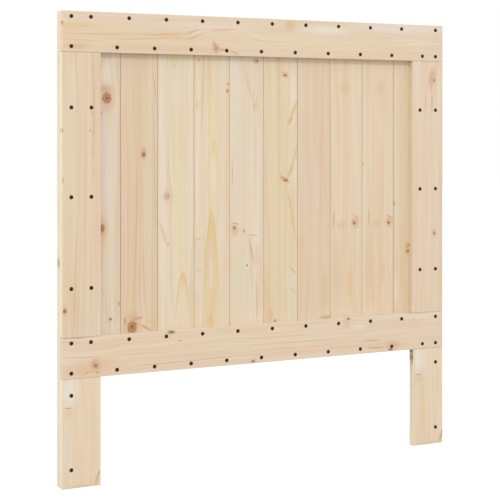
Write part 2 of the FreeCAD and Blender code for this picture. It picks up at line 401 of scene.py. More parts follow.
def stain():
    """A soft patch of another colour, longer than wide, such as a resin streak or a halo."""
    tree, given = new_tree(
        "stain", "ShaderNodeTree",
        {"Color": "Color", "Position": "Vector", "Centre": "Vector", "Reach": "Vector",
         "Turn": "Float", "Tint": "Color", "Strength": "Float"},
        {"Color": "Color"},
    )
    away = add(tree, "ShaderNodeVectorMath", {0: given["Position"], 1: given["Centre"]},
               operation="SUBTRACT")
    turned = add(tree, "ShaderNodeVectorRotate", {"Vector": away, "Angle": given["Turn"]},
                 rotation_type="Y_AXIS")
    share = add(tree, "ShaderNodeVectorMath", {0: turned, 1: given["Reach"]}, operation="DIVIDE")
    far = add(tree, "ShaderNodeVectorMath", {0: share}, operation="LENGTH")
    full_to, gone_at = 0.2, 1.2
    inside = add(tree, "ShaderNodeMapRange", {
        "Value": far, "From Min": full_to, "From Max": gone_at, "To Min": given["Strength"],
        "To Max": 0.0,
    }, interpolation_type="SMOOTHSTEP")
    mixed = add(tree, "ShaderNodeMix", {
        "Factor": inside, "A": given["Color"], "B": given["Tint"],
    }, data_type="RGBA")
    add(tree, "NodeGroupOutput", {0: mixed})
    return tree


def flame():
    """The pointed figure where the cut runs along a ring: two soft bands that meet in a point."""
    tree, given = new_tree(
        "flame", "ShaderNodeTree",
        {"Color": "Color", "Position": "Vector", "Tip": "Vector", "Length": "Float",
         "Spread": "Float", "Tint": "Color", "Fill": "Float", "Rim": "Float",
         "Drift": "Float"},
        {"Color": "Color"},
    )
    # All of these are in lengths of the figure, apart from its share of the grain's wander.
    fill_inner, fill_outer, fill_along = (-0.5, -0.1), (-0.06, 0.1), (0.2, 1.5)
    rim_step, rim_width, rims_out, rims_along = 0.24, 0.11, (0.05, 0.6), (0.5, 1.5)
    drift_share = 0.3
    away = add(tree, "ShaderNodeVectorMath", {0: given["Position"], 1: given["Tip"]},
               operation="SUBTRACT")
    parts = add(tree, "ShaderNodeSeparateXYZ", {0: away}).outputs
    along = add(tree, "ShaderNodeMath", {0: parts["Z"], 1: given["Length"]}, operation="DIVIDE")
    aside = add(tree, "ShaderNodeMath", {0: given["Drift"], 1: drift_share, 2: parts["X"]},
                operation="MULTIPLY_ADD")
    out = add(tree, "ShaderNodeMath", {0: aside, 1: given["Spread"]}, operation="DIVIDE")
    rise = add(tree, "ShaderNodeMath", {0: out, 1: 2.0}, operation="POWER")
    # The level is 0 on the figure's own ring, and counts the rings outside it in its lengths.
    level = add(tree, "ShaderNodeMath", {0: rise, 1: along}, operation="SUBTRACT")
    inward = add(tree, "ShaderNodeMapRange", {
        "Value": level, "From Min": fill_inner[0], "From Max": fill_inner[1],
    }, interpolation_type="SMOOTHSTEP")
    outward = add(tree, "ShaderNodeMapRange", {
        "Value": level, "From Min": fill_outer[0], "From Max": fill_outer[1],
        "To Min": given["Fill"], "To Max": 0.0,
    }, interpolation_type="SMOOTHSTEP")
    band = add(tree, "ShaderNodeMath", {0: inward, 1: outward}, operation="MULTIPLY")
    fading = add(tree, "ShaderNodeMapRange", {
        "Value": along, "From Min": fill_along[0], "From Max": fill_along[1],
        "To Min": 1.0, "To Max": 0.0,
    }, interpolation_type="SMOOTHSTEP")
    body = add(tree, "ShaderNodeMath", {0: band, 1: fading}, operation="MULTIPLY")
    tinted = add(tree, "ShaderNodeMix", {"Factor": body, "A": given["Color"], "B": given["Tint"]},
                 data_type="RGBA")
    on_ring = add(tree, "ShaderNodeMath", {0: level, 1: rim_step}, operation="PINGPONG")
    thin = add(tree, "ShaderNodeMapRange", {
        "Value": on_ring, "From Max": rim_width, "To Min": given["Rim"], "To Max": 0.0,
    }, interpolation_type="SMOOTHSTEP")
    farther = add(tree, "ShaderNodeMath", {0: level}, operation="ABSOLUTE")
    near = add(tree, "ShaderNodeMapRange", {
        "Value": farther, "From Min": rims_out[0], "From Max": rims_out[1],
        "To Min": 1.0, "To Max": 0.0,
    }, interpolation_type="SMOOTHSTEP")
    still = add(tree, "ShaderNodeMapRange", {
        "Value": along, "From Min": rims_along[0], "From Max": rims_along[1],
        "To Min": 1.0, "To Max": 0.0,
    }, interpolation_type="SMOOTHSTEP")
    shown = add(tree, "ShaderNodeMath", {0: near, 1: still}, operation="MULTIPLY")
    rim = add(tree, "ShaderNodeMath", {0: thin, 1: shown}, operation="MULTIPLY")
    rimmed = add(tree, "ShaderNodeMix", {"Factor": rim, "A": tinted, "B": linear(late_wood)},
                 data_type="RGBA")
    add(tree, "NodeGroupOutput", {0: rimmed})
    return tree


def knot():
    """A branch cut across: a dark heart, reddish rings, a thin dark rim and a warm halo."""
    tree, given = new_tree(
        "knot", "ShaderNodeTree",
        {"Color": "Color", "Position": "Vector", "Centre": "Vector", "Radius": "Float",
         "Strength": "Float"},
        {"Color": "Color"},
    )
    # A branch leaves the trunk upwards, so the cut through it is longer along the grain, and its
    # halo longer still. Ranges are in radii of the knot, and rag_size is in millimetres.
    knot_form, halo_form = (1.0, 0.12, 0.85), (0.75, 0.12, 0.42)
    rag_size = 4.0
    halo_range, halo_strength = (0.5, 1.7), 0.45
    core_range = (0.75, 1.15)
    away = add(tree, "ShaderNodeVectorMath", {0: given["Position"], 1: given["Centre"]},
               operation="SUBTRACT")
    ragged = add(tree, "ShaderNodeTexNoise", {
        "Vector": given["Position"], "Scale": 1 / rag_size, "Detail": 2.0,
    })
    shake = add(tree, "ShaderNodeVectorMath", {0: ragged.outputs["Color"], 1: (0.5, 0.5, 0.5)},
                operation="SUBTRACT")
    jolt = add(tree, "ShaderNodeVectorMath", {0: shake, "Scale": given["Radius"]},
               operation="SCALE")
    jolted = add(tree, "ShaderNodeVectorMath", {0: away, 1: jolt})
    flat = add(tree, "ShaderNodeVectorMath", {0: jolted, 1: knot_form}, operation="MULTIPLY")
    far = add(tree, "ShaderNodeVectorMath", {0: flat}, operation="LENGTH")
    share = add(tree, "ShaderNodeMath", {0: far, 1: given["Radius"]}, operation="DIVIDE")
    drawn = add(tree, "ShaderNodeVectorMath", {0: jolted, 1: halo_form}, operation="MULTIPLY")
    round_it = add(tree, "ShaderNodeVectorMath", {0: drawn}, operation="LENGTH")
    glow = add(tree, "ShaderNodeMath", {0: round_it, 1: given["Radius"]}, operation="DIVIDE")
    halo = add(tree, "ShaderNodeMapRange", {
        "Value": glow, "From Min": halo_range[0], "From Max": halo_range[1],
        "To Min": halo_strength, "To Max": 0.0,
    }, interpolation_type="SMOOTHSTEP")
    warmth = add(tree, "ShaderNodeMath", {0: halo, 1: given["Strength"]}, operation="MULTIPLY")
    warmed = add(tree, "ShaderNodeMix", {
        "Factor": warmth, "A": given["Color"], "B": linear(knot_halo),
    }, data_type="RGBA")
    rings = add(tree, "ShaderNodeValToRGB", {"Fac": share})
    stops = rings.color_ramp.elements
    stops[0].position, stops[0].color = 0.0, linear(knot_rings[0][1])
    stops[1].position, stops[1].color = 1.0, linear(knot_rim)
    for place, shade in knot_rings[1:]:
        stops.new(place).color = linear(shade)
    core = add(tree, "ShaderNodeMapRange", {
        "Value": share, "From Min": core_range[0], "From Max": core_range[1],
        "To Min": given["Strength"], "To Max": 0.0,
    }, interpolation_type="SMOOTHSTEP")
    knotted = add(tree, "ShaderNodeMix", {"Factor": core, "A": warmed, "B": rings},
                  data_type="RGBA")
    add(tree, "NodeGroupOutput", {0: knotted})
    return tree


parting_tree = parted_grain()
rings_tree = growth_rings()
stain_tree = stain()
flame_tree = flame()
knot_tree = knot()

# The grain parts over this many radii of a knot, and from board to board the log moves on by
# this many millimetres. A stain goes right through the board unless it says how deep it is.
parting_reach = (3.6, 20, 8)
log_stride = (137.1, 71.3, 401.7)
right_through = 40
pith_lean = 0.004
ring_width = 3.4
streak_tones, red_power, blue_power = (0.95, 1.03), 0.6, 1.7
fibre_tones = (0.97, 1.02)
turn_range = (0.6, 1.0)
end_tone = 0.9
relief_height = 0.06 * MM


def pine(board, tones, seed, pith, edge, late=0.5, lying=False, wave=(6.0, 380.0), knots=(),
         stains=(), flames=()):
    """The bare pine of one board, with its own tones, rings and marks.

    tones are the shades of its palest, middle and warmest bands, and late is how dark its late
    wood is. The seed says which stretch of log it is, and pith is where the middle of the log
    lay, across the grain and behind the face. edge is the shade of its narrow edges and how
    much of it they take. A lying board has its grain level. wave is how far the grain swings
    to each side and the length of a swing.
    Knots are across, up, radius and strength. Stains are across, up, half the width and height,
    degrees turned clockwise, tint and strength, and their depth where they lie on the face
    alone. Flames are the tip's across and up, the length upwards or to the right, the spread,
    tint, fill and rim.
    """
    material = bpy.data.materials.new(board + "_bare_pine")
    material.use_nodes = True
    tree = material.node_tree
    tree.nodes.clear()
    quarter = math.radians(90)
    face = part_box(board)[0].y

    def on_grain(across, up):
        """A place on the face as the pattern counts it: across the grain, deep, along it."""
        return (up, 0, -across) if lying else (across, 0, up)

    place = add(tree, "ShaderNodeTexCoord").outputs["Object"]
    position = add(tree, "ShaderNodeMapping", {
        "Vector": place, "Scale": (1 / MM, 1 / MM, 1 / MM),
        "Rotation": (0, quarter if lying else 0, 0), "Location": (0, -face / MM, 0),
    })
    grain_place = position
    for across, up, radius, strength in knots:
        grain_place = add(tree, "ShaderNodeGroup", {
            "Position": grain_place, "Centre": on_grain(across, up),
            "Reach": tuple(radius * share for share in parting_reach),
        }, node_tree=parting_tree)
    grain = add(tree, "ShaderNodeGroup", {
        "Position": grain_place, "Seed": tuple(seed * stride for stride in log_stride),
        "Pith": (*pith, 0.0), "Lean": pith_lean, "Ring width": ring_width, "Wave": wave[0],
        "Wave length": wave[1],
    }, node_tree=rings_tree).outputs
    bands = add(tree, "ShaderNodeValToRGB", {"Fac": grain["Band"]})
    stops = bands.color_ramp.elements
    stops[0].color = linear(tones[0])
    stops[1].color = linear(tones[2])
    stops.new(0.5).color = linear(tones[1])
    colour = bands
    for across, up, length, spread, tint, fill, rim in flames:
        colour = add(tree, "ShaderNodeGroup", {
            "Color": colour, "Position": grain_place, "Tip": on_grain(across, up),
            "Length": -length if lying else length, "Spread": spread, "Tint": linear(tint),
            "Fill": fill, "Rim": rim, "Drift": grain["Drift"],
        }, node_tree=flame_tree)
    for across, up, wide, high, degrees, tint, strength, *shallow in stains:
        deep = shallow[0] if shallow else right_through
        colour = add(tree, "ShaderNodeGroup", {
            "Color": colour, "Position": grain_place, "Centre": on_grain(across, up),
            "Reach": (high, deep, wide) if lying else (wide, deep, high),
            "Turn": math.radians(-degrees), "Tint": linear(tint), "Strength": strength,
        }, node_tree=stain_tree)
    lines = add(tree, "ShaderNodeMath", {0: grain["Late wood"], 1: late}, operation="MULTIPLY")
    colour = add(tree, "ShaderNodeMix", {"Factor": lines, "A": colour, "B": linear(late_wood)},
                 data_type="RGBA")
    for across, up, radius, strength in knots:
        colour = add(tree, "ShaderNodeGroup", {
            "Color": colour, "Position": position, "Centre": on_grain(across, up),
            "Radius": radius, "Strength": strength,
        }, node_tree=knot_tree)
    streaks = add(tree, "ShaderNodeMapRange", {
        "Value": grain["Streak"], "To Min": streak_tones[0], "To Max": streak_tones[1],
    })
    fibres = add(tree, "ShaderNodeMapRange", {
        "Value": grain["Fibre"], "To Min": fibre_tones[0], "To Max": fibre_tones[1],
    })
    # Streaks take more blue than red, as resin does, and the cut ends drink more light.
    streaked = add(tree, "ShaderNodeCombineColor", {
        "Red": add(tree, "ShaderNodeMath", {0: streaks, 1: red_power}, operation="POWER"),
        "Green": streaks,
        "Blue": add(tree, "ShaderNodeMath", {0: streaks, 1: blue_power}, operation="POWER"),
    })
    colour = add(tree, "ShaderNodeMix", {"Factor": 1.0, "A": colour, "B": streaked},
                 data_type="RGBA", blend_type="MULTIPLY")
    # Narrow edges take the board's edge colour; on the planks that colour is painted shade for the
    # gaps between them.
    facing = add(tree, "ShaderNodeSeparateXYZ", {
        0: add(tree, "ShaderNodeTexCoord").outputs["Normal"],
    }).outputs
    sideways = add(tree, "ShaderNodeMath", {0: facing["Z" if lying else "X"]},
                   operation="ABSOLUTE")
    on_edge = add(tree, "ShaderNodeMapRange", {
        "Value": sideways, "From Min": turn_range[0], "From Max": turn_range[1],
        "To Max": edge[1],
    })
    colour = add(tree, "ShaderNodeMix", {"Factor": on_edge, "A": colour, "B": linear(edge[0])},
                 data_type="RGBA")
    end = add(tree, "ShaderNodeMath", {0: facing["X" if lying else "Z"]}, operation="ABSOLUTE")
    end_shade = add(tree, "ShaderNodeMapRange", {
        "Value": end, "From Min": turn_range[0], "From Max": turn_range[1],
        "To Min": 1.0, "To Max": end_tone,
    })
    fine = add(tree, "ShaderNodeMath", {0: fibres, 1: end_shade}, operation="MULTIPLY")
    colour = add(tree, "ShaderNodeVectorMath", {0: colour, "Scale": fine}, operation="SCALE")
    relief = add(tree, "ShaderNodeMath", {0: grain["Late wood"], 1: grain["Fibre"]})
    bump = add(tree, "ShaderNodeBump", {
        "Height": relief, "Strength": 0.3, "Distance": relief_height,
    })
    wood = add(tree, "ShaderNodeBsdfPrincipled", {
        "Base Color": colour, "Normal": bump, "Roughness": 0.6, "IOR": 1.5,
    })
    add(tree, "ShaderNodeOutputMaterial", {"Surface": wood})
    return material


def pine_board(node, slot, tones, seed, pith, edge, arris=arris_radius, **figure):
    """A planed board in its node's place, in pine of its own."""
    planed_board(node, pine(node, tones, seed, pith, edge, **figure), arris)


# Planks: ten upright boards side by side form the panel, each sawn from another part of a log.
# They stand behind the rails, the outermost two partly behind the stiles, with a hair's gap
# between neighbours, and the rails are screwed to every one of them.

plank_arris = 0.35 * MM
# Their narrow edges are painted dark brown as the shade in the hair's gaps between them, so the
# joints show as thin lines.
painted_gap_shade = ("804A2A", 0.75)
# Painted shade darkens their faces in a strip just above the upper edge of the bottom rail.
painted_ledge_shade = (0, 317, 3000, 10, 0, "D6C8B6", 0.4, 8)


def plank(number, tones, pith, late, stains, knots=(), flames=()):
    """One of the ten, counted from the left."""
    # Every plank takes the strip of painted shade above the bottom rail first.
    pine_board(
        f"plank_{number}", "pine_plank", tones, number, pith, painted_gap_shade, plank_arris,
        late=late, knots=knots, stains=(painted_ledge_shade, *stains), flames=flames,
    )


plank(
    1, ("E6D7C6", "E0CCB3", "DDC3A0"), (-470, 60), late=0.35,
    knots=(
        (-375, 818, 11, 0.9), (-388, 541, 9, 0.9), (-367, 347, 2.8, 0.4), (-347, 379, 3, 0.5),
        (-388, 787, 2.5, 0.5),
    ),
    stains=(
        (-382, 700, 8, 150, 0, "DCCCC0", 0.8), (-365, 640, 6, 260, 0, "E5D5BE", 0.7),
        (-351, 500, 5, 200, 0, "DEC5A4", 0.5), (-355, 730, 6, 150, 0, "E6D7C4", 0.6),
        (-383, 750, 8, 66, 0, "E4D0C3", 0.65), (-376, 874, 13, 36, 0, "EADDCE", 0.75),
        (-372, 460, 18, 140, 0, "E4D2B8", 0.4), (-378, 838, 9, 10, 0, "CFAB88", 0.55),
        (-387, 510, 7, 90, 0, "DDBA90", 0.5), (-386, 412, 2, 28, -22, "D0AB80", 0.5),
        (-376, 365, 2, 34, -5, "D0AB80", 0.4), (-367, 347, 2.2, 3, 0, "76552F", 0.95),
        (-354, 370, 7, 60, 0, "E0C49C", 0.5),
    ),
)
plank(
    2, ("E2CCB2", "E0C7AA", "DEC3A0"), (-330, 55), late=0.4,
    knots=((-291, 697, 5, 0.35), (-317, 327, 12, 0.9)),
    stains=(
        (-336, 600, 7, 300, 0, "E3C5AD", 0.5), (-319, 600, 8, 300, 0, "E3CBA8", 0.5),
        (-303, 600, 7, 300, 0, "E2C2A8", 0.6), (-279, 600, 12, 320, 0, "E0CFB1", 0.7),
        (-264, 600, 5, 320, 0, "E0CCB0", 0.7), (-273, 810, 10, 130, 0, "E4D3BB", 0.65),
        (-307, 560, 1.6, 200, 1, "C99F72", 0.5), (-327, 520, 1.5, 220, 0, "CBA378", 0.35),
        (-290, 440, 2, 90, -1, "C89E74", 0.5), (-300, 420, 1.6, 80, 2, "C99F74", 0.45),
        (-291, 700, 5, 18, 0, "CFA27A", 0.5), (-309, 345, 11, 3, -12, "BC8A62", 0.7),
        (-326, 341, 2.6, 9, -10, "A66E46", 0.7), (-290, 324, 24, 3.4, 20, "C28E64", 0.7),
        (-265, 845, 1.5, 46, -7, "C0866A", 0.5), (-291, 698, 2, 9, 0, "B57F52", 0.8),
        (-290.5, 697, 1.1, 5, 0, "5E4326", 1.0),
    ),
)
plank(
    3, ("E9D8C3", "E6D4B8", "E5D0AE"), (-200, 80), late=0.3,
    knots=((-236, 606, 8, 0.2), (-233, 606, 2.2, 0.5)),
    flames=(
        (-198, 434, -117, 22, "E6C794", 0.6, 0.4), (-217, 885, 60, 12, "E0C998", 0.6, 0.3),
    ),
    stains=(
        (-247, 620, 10, 330, 0, "E9D9CA", 0.85), (-203, 600, 14, 230, 0, "E6D7B2", 0.7),
        (-203, 760, 7, 120, 0, "E6CDA8", 0.5), (-179, 600, 6, 300, 0, "E8D8C2", 0.6),
        (-216, 850, 22, 66, 0, "E8D8C8", 0.6), (-196, 360, 16, 56, 0, "E8D8BF", 0.5),
        (-243, 524, 6, 32, -20, "E0C0A4", 0.65), (-247, 528, 1.6, 32, -16, "D2A888", 0.5),
        (-233, 501, 4.5, 6, 0, "D6AA88", 0.65), (-198, 418, 4.5, 18, 0, "E8BE88", 0.55),
        (-235, 606, 9, 10, 0, "DDC8B2", 0.6), (-226, 660, 7, 66, 0, "ECE0CC", 0.4),
    ),
)
plank(
    4, ("EADAC6", "E6D2B6", "E4CBA6"), (-110, 75), late=0.3,
    knots=((-89, 837, 2.6, 0.9), (-88, 852, 1.8, 0.7), (-160, 903, 2.5, 0.4)),
    flames=(
        (-124, 730, -90, 16, "E8CB96", 0.5, 0.25), (-128, 566, -200, 20, "E3C68A", 0.85, 0.15),
        (-165, 512, -60, 8, "E3C49A", 0.5, 0.3),
    ),
    stains=(
        (-162, 700, 8, 300, 0, "EADBCA", 0.85), (-124, 720, 19, 190, 0, "E7D8B0", 0.75),
        (-133, 880, 6, 44, 0, "E6C6A0", 0.6), (-123, 712, 5.5, 20, 0, "E8C48C", 0.7),
        (-124, 650, 8, 40, 0, "E9DCC6", 0.6), (-142, 465, 8, 70, 0, "DDC194", 0.45),
        (-128, 410, 46, 120, 0, "DFC8A2", 0.35), (-128, 390, 21, 90, 0, "E4C894", 0.6),
        (-129, 430, 6, 50, 0, "E9D6C4", 0.8), (-163, 412, 7, 30, 0, "E9D6C6", 0.7),
        (-163, 805, 6, 15, 0, "E3C2A4", 0.6), (-132, 328, 12, 22, 0, "E0B982", 0.6),
        (-91, 600, 4, 250, 0, "E1C8AC", 0.6), (-160, 511, 9, 1.4, 18, "BE9C7C", 0.6),
        (-158, 442, 9, 2.4, 42, "DDB094", 0.6), (-142, 740, 6, 170, 0, "EADDC8", 0.45),
    ),
)
plank(
    5, ("E9D9C6", "E6D4BC", "E4D0B4"), (-20, 85), late=0.25,
    knots=(
        (-72, 532, 3.2, 0.9), (-48, 524, 2.5, 0.6), (-41, 447, 2.2, 0.2), (-15, 905, 3, 0.7),
    ),
    stains=(
        (-18, 700, 14, 260, 0, "EBDBCB", 0.75), (-58, 700, 11, 240, 0, "E3D7BE", 0.7),
        (-50, 410, 26, 95, 0, "DFD3BA", 0.8), (-70, 526, 13, 17, 0, "DEB292", 0.6),
        (-70, 542, 12, 1.8, 12, "B98A62", 0.6), (-36, 851, 6, 62, -16.5, "DCC6A0", 0.65),
        (-17, 815, 2.6, 24, 2, "DABD98", 0.5), (-29, 880, 7, 28, -12, "E0D7B6", 0.6),
        (-19, 801, 8, 11, 0, "DFC29A", 0.65), (-19, 905, 10, 7, 0, "CC9C84", 0.6),
        (-77, 655, 1.4, 42, 0, "C79672", 0.6), (-41, 447, 7, 14, 0, "E8DCC6", 0.7),
        (-24, 514, 15, 1.6, 6, "BE9676", 0.65), (-29, 478, 4, 40, -14, "CFAF84", 0.65),
        (-16, 380, 3, 60, -1, "D2AC84", 0.6), (-7, 400, 9, 96, 0, "E4C8A6", 0.8),
        (-14, 470, 10, 40, -4, "E2C8AC", 0.75), (-40.5, 447, 1, 3.4, 0, "7A6A44", 0.95),
        (-84, 600, 4, 260, 0, "E4CFAA", 0.6), (-62, 700, 1, 200, 0, "CDBEA2", 0.5),
        (-50, 720, 1, 180, 0, "CDBEA2", 0.4),
    ),
)
plank(
    6, ("E5D5BC", "E3CFAE", "E1CAA4"), (100, 60), late=0.3,
    knots=((57, 874, 3, 0.3), (57, 636, 3.6, 0.3), (31, 318, 3, 0.7)),
    stains=(
        (6, 650, 7, 300, 0, "E7CBAF", 0.7), (36, 650, 18, 300, 0, "E5D0A8", 0.6),
        (54, 850, 12, 60, 0, "E6D6C0", 0.5), (78, 830, 9, 80, 0, "EADCCB", 0.8),
        (80, 660, 8, 50, 0, "E8D9C6", 0.8), (77, 385, 10, 80, 0, "E2D3BA", 0.8),
        (78, 793, 5, 34, 22, "DAB47C", 0.75), (70, 771, 5.5, 12, 26, "DAAE74", 0.75),
        (82, 693, 4.6, 28, 16, "DCB684", 0.7), (71, 657, 5.5, 22, 24, "DAB27C", 0.75),
        (57, 875, 14, 8, 32, "DFB278", 0.8), (55, 639, 18, 6, 32, "CFA070", 0.8),
        (57, 874, 2.4, 3, 28, "6A5230", 0.9), (58, 635.5, 3.6, 3, 28, "6A4E2C", 0.9),
        (76, 548, 4.5, 66, -11, "DCBA88", 0.6), (69, 592, 4.5, 24, -8, "DDB684", 0.5),
        (76, 432, 20, 3.6, 42, "D0B680", 0.6), (77, 384, 16, 3.2, 40, "D4BC8C", 0.55),
        (9, 370, 15, 90, 0, "E0BC92", 0.5), (20, 330, 12, 20, 0, "DDB080", 0.5),
    ),
)
plank(
    7, ("E4D0B8", "E2CBB0", "E0C6A4"), (60, 90), late=0.28,
    stains=(
        (126, 650, 26, 300, 0, "E2CDB8", 0.5), (150, 610, 6, 300, 0, "DDBE96", 0.5),
        (100, 450, 8, 130, 0, "E0C094", 0.55), (163, 318, 19, 6, 0, "C29A68", 0.75),
        (160, 380, 15, 66, 0, "DABA94", 0.5),
    ),
)
plank(
    8, ("E7D7C0", "E6D0B4", "E4CAA8"), (215, 90), late=0.28,
    knots=((240, 533, 3.8, 0.95),),
    stains=(
        (188, 640, 8, 300, 0, "E2D2AE", 0.6), (198, 640, 1, 260, 0, "C9AC82", 0.35),
        (217, 640, 15, 300, 0, "E4CAB2", 0.7), (249, 640, 11, 300, 0, "E3D6BE", 0.7),
        (217, 848, 17, 22, 0, "DCBC94", 0.55), (196, 415, 19, 120, 0, "DCBC96", 0.5),
        (245, 536, 13, 13, 0, "D6AE86", 0.6), (246, 547, 10, 2, 30, "BE8E64", 0.7),
        (248, 523, 9, 1.8, -14, "C49A70", 0.6), (185, 543, 2.4, 26, 4, "BA966A", 0.6),
        (206, 530, 18, 13, 0, "DDBE96", 0.5), (229, 395, 10, 56, 0, "E4BC8A", 0.5),
    ),
)
plank(
    9, ("E7D6BF", "E7CFB4", "E4CAA9"), (300, 90), late=0.28,
    knots=((335, 531, 3.8, 0.95), (264, 670, 1.6, 0.6)),
    stains=(
        (277, 640, 10, 300, 0, "E2D2AE", 0.6), (293, 640, 1, 260, 0, "C9AC82", 0.35),
        (311, 640, 13, 300, 0, "E4C9B0", 0.7), (340, 640, 8, 300, 0, "E3D6BE", 0.7),
        (312, 850, 16, 22, 0, "DDBE9A", 0.5), (281, 430, 16, 110, 0, "DABD98", 0.45),
        (339, 534, 11, 13, 0, "D6AE86", 0.6), (338, 545, 10, 2, 30, "BE8E64", 0.7),
        (342, 521, 9, 1.8, -14, "C49A70", 0.6), (280, 543, 2.4, 26, 4, "BA966A", 0.55),
        (302, 530, 18, 13, 0, "DDBE96", 0.5), (319, 420, 8, 36, 0, "E2BA8E", 0.45),
        (277, 350, 7, 50, 0, "E4CC9C", 0.6), (293, 368, 7, 46, 0, "DEC29C", 0.5),
        (313, 755, 9, 60, 0, "EAD5C0", 0.5),
    ),
)
plank(
    10, ("E4CFB4", "E2CAAC", "E0C49E"), (420, 70), late=0.3,
    knots=((350, 576, 2.6, 0.7), (390, 475, 3.8, 0.3), (388, 460, 3.4, 0.3)),
    stains=(
        (356, 640, 7, 300, 0, "E5D9BE", 0.7), (356, 850, 7, 60, 0, "E6D8C0", 0.5),
        (374, 640, 8, 300, 0, "E2C9A8", 0.5), (388, 640, 9, 260, 0, "E2D0B8", 0.7),
        (388, 468, 6, 24, 0, "D8AC72", 0.65), (391, 475, 0.9, 6, -8, "6A4A26", 0.9),
        (388.5, 462, 1.6, 3, 12, "8A5420", 0.9), (356, 370, 8, 50, 0, "EADBC6", 0.6),
    ),
)


# Posts: two narrow uprights of thicker timber behind the stiles, from the top rail to the floor.
# They carry the rails' ends, the stiles and the legs, and their backs can lean on the wall.

post_tones = ("DFD6C5", "D9CCB8", "D4C4AC")
post_edge = ("DED3C2", 0.3)
pine_board(
    "left_post", "pine_post", post_tones, 11, (-520, 45), post_edge,
    knots=((-452, 640, 5, 0.9), (-470, 210, 3, 0.8)),
    stains=(
        (-480, 897, 2, 12, 0, "C9AE92", 0.6), (-480, 471, 2, 12, 0, "643A16", 1.0),
        (-480, 471, 2, 26, 0, "DDB898", 0.5), (-480, 585, 2, 30, 0, "D9BD98", 0.6),
    ),
)
pine_board(
    "right_post", "pine_post", post_tones, 12, (410, 40), post_edge,
    knots=((455, 760, 4, 0.9), (462, 120, 6, 0.9)),
)


# Rails: two boards laid across the whole width, over the planks and the posts.
# Their grain runs from side to side, and their ends show as end grain at both sides.

rail_edge = ("D9CDBC", 0.7)
pine_board(
    "top_rail", "pine_board", ("E6D3BE", "E5D0B8", "E4CCB0"), 13, (1010, 60), rail_edge,
    late=0.2, lying=True, wave=(9.0, 170.0),
    knots=((-122, 930, 4, 0.4),),
    stains=(
        (-120, 978, 150, 8, 0, "E6D6C9", 0.8), (-350, 950, 150, 20, 0, "E5CBA2", 0.5),
        (-466, 952, 34, 26, 0, "E4C69C", 0.5), (-479, 974, 1.5, 6, 0, "8E5A34", 0.8),
        (-250, 926, 260, 11, 0, "DDBE92", 0.5), (-446, 927, 42, 10, 0, "DDBA8A", 0.55),
        (-205, 947, 60, 8, 0, "DFC194", 0.4), (-440, 971, 44, 7, 0, "E3C494", 0.7),
        (-245, 957, 70, 4, -2, "DAB27E", 0.65), (-182, 964, 24, 3, -19, "DAB27E", 0.6),
        (-290, 946, 95, 2.2, -3, "D3AD80", 0.6), (-175, 954, 32, 2.4, -20, "D3AD80", 0.6),
        (-400, 953, 90, 2, -1, "D3AD80", 0.5), (-430, 939, 60, 1.8, 2, "D3AF86", 0.5),
        (-220, 988, 120, 1.2, -2, "D6B890", 0.4), (-446, 926, 27, 6, 0, "DEBB88", 0.6),
        (-90, 956, 50, 11, 0, "E7CEA8", 0.5), (-124, 931, 13, 14, 0, "DDB48E", 0.6),
        (-126, 933, 5, 17, -20, "BE8E60", 0.55), (-108, 928, 14, 2.4, 4, "BE9066", 0.6),
        (-78, 921, 16, 3, 19, "CEA278", 0.65), (-107, 971, 40, 3.4, -5, "E0B27E", 0.65),
        (62, 986, 17, 15, 0, "E0BC98", 0.85), (155, 979, 84, 13, 0, "ECE2D5", 0.85),
        (50, 950, 130, 18, 0, "E6D6B0", 0.55), (228, 983, 30, 12, 0, "E3D5AF", 0.7),
        (360, 988, 175, 15, 0, "E9DCD0", 0.8), (240, 953, 240, 12, 0, "E3D3B0", 0.6),
        (240, 925, 240, 10, 0, "E4CAAB", 0.6), (395, 957, 80, 11, 0, "EBDFC9", 0.5),
    ),
)
